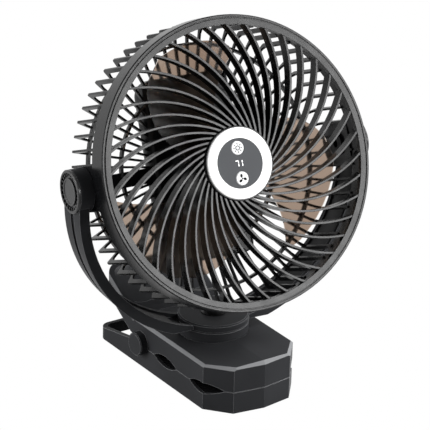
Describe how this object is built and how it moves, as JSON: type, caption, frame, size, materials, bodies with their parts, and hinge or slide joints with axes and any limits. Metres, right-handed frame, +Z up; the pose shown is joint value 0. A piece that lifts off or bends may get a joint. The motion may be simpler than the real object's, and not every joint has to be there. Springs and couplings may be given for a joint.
{
  "type": "portable clip fan",
  "caption": "Rechargeable clip fan: swirl-grille head with light ring tilts in a U yoke that swivels on a spring-jaw base with push paddle and hanging loop.",
  "frame": {"origin": "on the floor under the swivel axis of the yoke", "axes": "+Z up, -Y towards the nose of the base and the front of the fan, +X to the right seen from behind the part looking along +Y"},
  "size_m": [0.2342, 0.1673, 0.2735],
  "materials": {
    "body_plastic": "satin moulded charcoal plastic",
    "inner_plastic": "matte moulded black plastic",
    "cage_plastic": "satin moulded charcoal plastic",
    "grille_plastic": "satin moulded charcoal plastic",
    "cap_plastic": "satin moulded charcoal plastic",
    "rubber_black": "matte black rubber",
    "steel": "plain steel",
    "motor_steel": "pressed steel can",
    "cell_pouch": "foil pouch",
    "board": "solder-masked circuit board",
    "blade_plastic": "translucent smoky amber plastic",
    "light_diffuser": "white diffuser",
    "display_gloss": "grey tinted display window",
    "digit_white": "lit white segments",
    "button_plastic": "white moulded button",
    "icon_ink": "grey print"
  },
  "bodies": {
    "lower": {"lower_jaw": "body_plastic", "base_plate": "inner_plastic", "base_screws": "steel", "foot_mat": "rubber_black", "lower_grips": "rubber_black", "clamp_pin": "steel", "pivot_caps": "body_plastic", "clamp_spring": "steel"},
    "upper": {"upper_housing": "body_plastic", "jaw_cover": "inner_plastic", "cover_screws": "steel", "upper_grips": "rubber_black", "battery_cells": "cell_pouch", "charge_board": "board", "usb_port": "steel", "port_frame": "inner_plastic", "swivel_collar": "body_plastic", "swivel_bolt": "steel", "swivel_nut": "steel"},
    "swivel": {"yoke": "body_plastic", "yoke_liner": "inner_plastic", "swivel_washer": "steel", "cap_left": "cap_plastic", "cap_right": "cap_plastic"},
    "head": {"rear_cage": "cage_plastic", "back_cover": "body_plastic", "cover_bolts": "steel", "front_grille": "grille_plastic", "pin_left": "inner_plastic", "pin_right": "inner_plastic", "motor_can": "motor_steel", "control_board": "board", "light_ring": "light_diffuser", "display_panel": "display_gloss", "display_digits": "digit_white"},
    "spinner": {"rotor": "blade_plastic", "rotor_nut": "steel", "motor_shaft": "steel"},
    "light_key": {"light_button": "button_plastic", "light_icon": "icon_ink"},
    "fan_key": {"fan_button": "button_plastic", "fan_icon": "icon_ink"}
  },
  "joints": [
    {"name": "clamp_hinge", "type": "hinge", "parent": "lower", "child": "upper", "pos_m": [0, 0.0352, 0.0194], "axis": [-1, 0, 0], "range_deg": [0, 20], "stiffness_Nm_per_rad": 2, "springref_deg": -34.38, "deforming": ["clamp_spring"]},
    {"name": "yoke_swivel", "type": "hinge", "parent": "upper", "child": "swivel", "pos_m": [0, 0, 0.0447], "axis": [0, 0, 1], "range_deg": [-175, 175]},
    {"name": "head_tilt", "type": "hinge", "parent": "swivel", "child": "head", "pos_m": [0, 0, 0.16439], "axis": [-0.9945, 0.1045, 0], "range_deg": [-68, 67]},
    {"name": "rotor_spin", "type": "hinge", "parent": "head", "child": "spinner", "pos_m": [0, 0, 0.16439], "axis": [-0.0962, -0.9155, 0.3907], "continuous": true},
    {"name": "light_press", "type": "slide", "parent": "head", "child": "light_key", "axis": [0.0962, 0.9155, -0.3907], "range_m": [0, 0.0008], "stiffness_N_per_m": 400, "springref_m": -0.0008},
    {"name": "fan_press", "type": "slide", "parent": "head", "child": "fan_key", "axis": [0.0962, 0.9155, -0.3907], "range_m": [0, 0.0008], "stiffness_N_per_m": 400, "springref_m": -0.0008}
  ]
}
